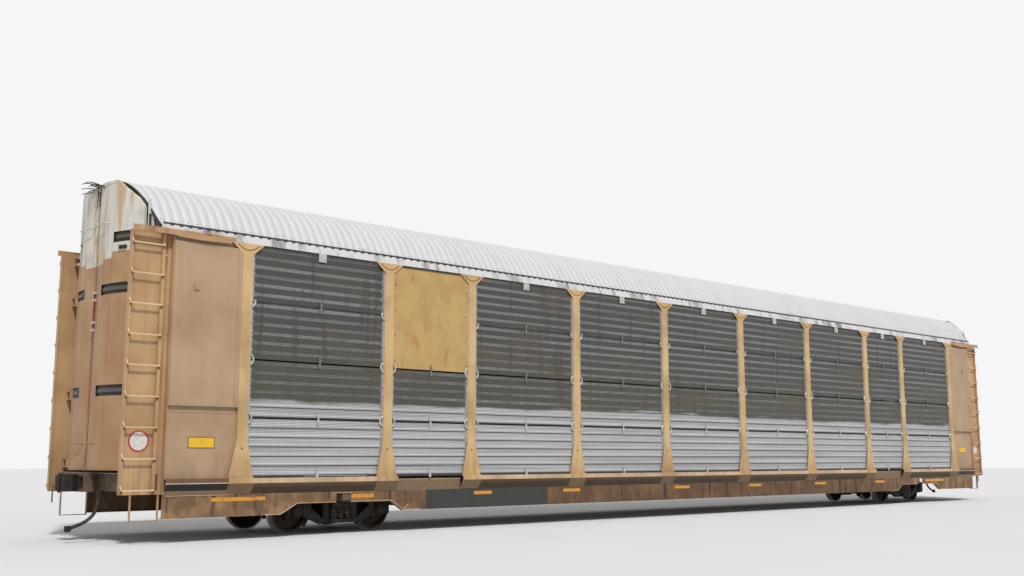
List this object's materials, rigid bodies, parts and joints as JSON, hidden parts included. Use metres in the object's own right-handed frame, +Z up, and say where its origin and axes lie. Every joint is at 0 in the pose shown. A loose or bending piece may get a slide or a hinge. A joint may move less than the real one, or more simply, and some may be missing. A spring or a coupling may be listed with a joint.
{
  "type": "enclosed three-deck autorack rail car",
  "caption": "Long enclosed rail car for carrying motor cars, with corrugated side panels, an arched ribbed roof, bowed end doors and low decks on two trucks.",
  "frame": {"origin": "middle of the car's plan, on the line of the wheel flange tips, 29 mm under the rail head", "axes": "+X along the car to its B end, +Y across it to its left side, +Z up"},
  "size_m": [28.55, 3.136, 5.7692],
  "materials": {
    "cast_iron": "matte",
    "deck_steel": "galvanised",
    "hose_rubber": "matte",
    "panel_sheet": "weathered satin",
    "plain_yellow": "satin",
    "roof_white": "satin",
    "sill_paint": "weathered",
    "tan_paint": "satin",
    "wheel_steel": "rusty"
  },
  "bodies": {
    "car": {"air_hose_a": "hose_rubber", "air_hose_b": "hose_rubber", "angle_cock_a": "cast_iron", "angle_cock_b": "cast_iron", "body_bolsters": "sill_paint", "brake_gear": "cast_iron", "center_sill": "sill_paint", "corner_columns": "tan_paint", "crossbearers": "sill_paint", "door_hinges": "tan_paint", "draft_gear": "cast_iron", "draft_sills": "sill_paint", "end_frame_a": "tan_paint", "end_frame_b": "tan_paint", "end_panels": "tan_paint", "end_sills": "sill_paint", "glad_hand_a": "cast_iron", "glad_hand_b": "cast_iron", "ladders": "tan_paint", "lower_chords": "tan_paint", "lower_deck": "deck_steel", "middle_deck": "deck_steel", "panels_left": "panel_sheet", "panels_right": "panel_sheet", "plain_panels": "plain_yellow", "posts_left": "tan_paint", "posts_right": "tan_paint", "roof": "roof_white", "side_sills": "sill_paint", "sill_steps": "sill_paint", "top_chords": "tan_paint", "uncoupling_levers": "tan_paint", "upper_deck": "deck_steel"},
    "truck_a": {"bearings_a": "cast_iron", "brake_beams_a": "cast_iron", "side_frames_a": "cast_iron", "springs_a": "wheel_steel", "truck_bolster_a": "cast_iron"},
    "truck_b": {"bearings_b": "cast_iron", "brake_beams_b": "cast_iron", "side_frames_b": "cast_iron", "springs_b": "wheel_steel", "truck_bolster_b": "cast_iron"},
    "coupler_a": {"coupler_a": "cast_iron"},
    "coupler_b": {"coupler_b": "cast_iron"},
    "door_leaf_a_left": {"door_leaf_a_left": "tan_paint"},
    "door_leaf_a_right": {"door_leaf_a_right": "tan_paint"},
    "door_leaf_b_left": {"door_leaf_b_left": "tan_paint"},
    "door_leaf_b_right": {"door_leaf_b_right": "tan_paint"},
    "wheelset_a1": {"wheelset_a1": "wheel_steel"},
    "wheelset_a2": {"wheelset_a2": "wheel_steel"},
    "wheelset_b1": {"wheelset_b1": "wheel_steel"},
    "wheelset_b2": {"wheelset_b2": "wheel_steel"}
  },
  "joints": [
    {"name": "truck_a_swivel", "type": "hinge", "parent": "car", "child": "truck_a", "pos_m": [-9.754, 0, 0.584], "axis": [0, 0, 1], "range_deg": [-6, 6]},
    {"name": "wheelset_a1_spin", "type": "hinge", "parent": "truck_a", "child": "wheelset_a1", "pos_m": [-10.6175, 0, 0.3845], "axis": [0, 1, 0], "continuous": true},
    {"name": "wheelset_a2_spin", "type": "hinge", "parent": "truck_a", "child": "wheelset_a2", "pos_m": [-8.8905, 0, 0.3845], "axis": [0, 1, 0], "continuous": true},
    {"name": "coupler_a_swing", "type": "hinge", "parent": "car", "child": "coupler_a", "pos_m": [-13.45, 0, 0.905], "axis": [0, 0, 1], "range_deg": [-12, 12]},
    {"name": "door_leaf_a_right_hinge", "type": "hinge", "parent": "car", "child": "door_leaf_a_right", "pos_m": [-13.66, -1.25, 2.929], "axis": [0, 0, 1], "range_deg": [0, 95]},
    {"name": "door_leaf_a_left_hinge", "type": "hinge", "parent": "car", "child": "door_leaf_a_left", "pos_m": [-13.66, 1.25, 2.929], "axis": [0, 0, -1], "range_deg": [0, 95]},
    {"name": "truck_b_swivel", "type": "hinge", "parent": "car", "child": "truck_b", "pos_m": [9.754, 0, 0.584], "axis": [0, 0, 1], "range_deg": [-6, 6]},
    {"name": "wheelset_b1_spin", "type": "hinge", "parent": "truck_b", "child": "wheelset_b1", "pos_m": [8.8905, 0, 0.3845], "axis": [0, 1, 0], "continuous": true},
    {"name": "wheelset_b2_spin", "type": "hinge", "parent": "truck_b", "child": "wheelset_b2", "pos_m": [10.6175, 0, 0.3845], "axis": [0, 1, 0], "continuous": true},
    {"name": "coupler_b_swing", "type": "hinge", "parent": "car", "child": "coupler_b", "pos_m": [13.45, 0, 0.905], "axis": [0, 0, 1], "range_deg": [-12, 12]},
    {"name": "door_leaf_b_right_hinge", "type": "hinge", "parent": "car", "child": "door_leaf_b_right", "pos_m": [13.66, -1.25, 2.929], "axis": [0, 0, -1], "range_deg": [0, 95]},
    {"name": "door_leaf_b_left_hinge", "type": "hinge", "parent": "car", "child": "door_leaf_b_left", "pos_m": [13.66, 1.25, 2.929], "axis": [0, 0, 1], "range_deg": [0, 95]}
  ]
}
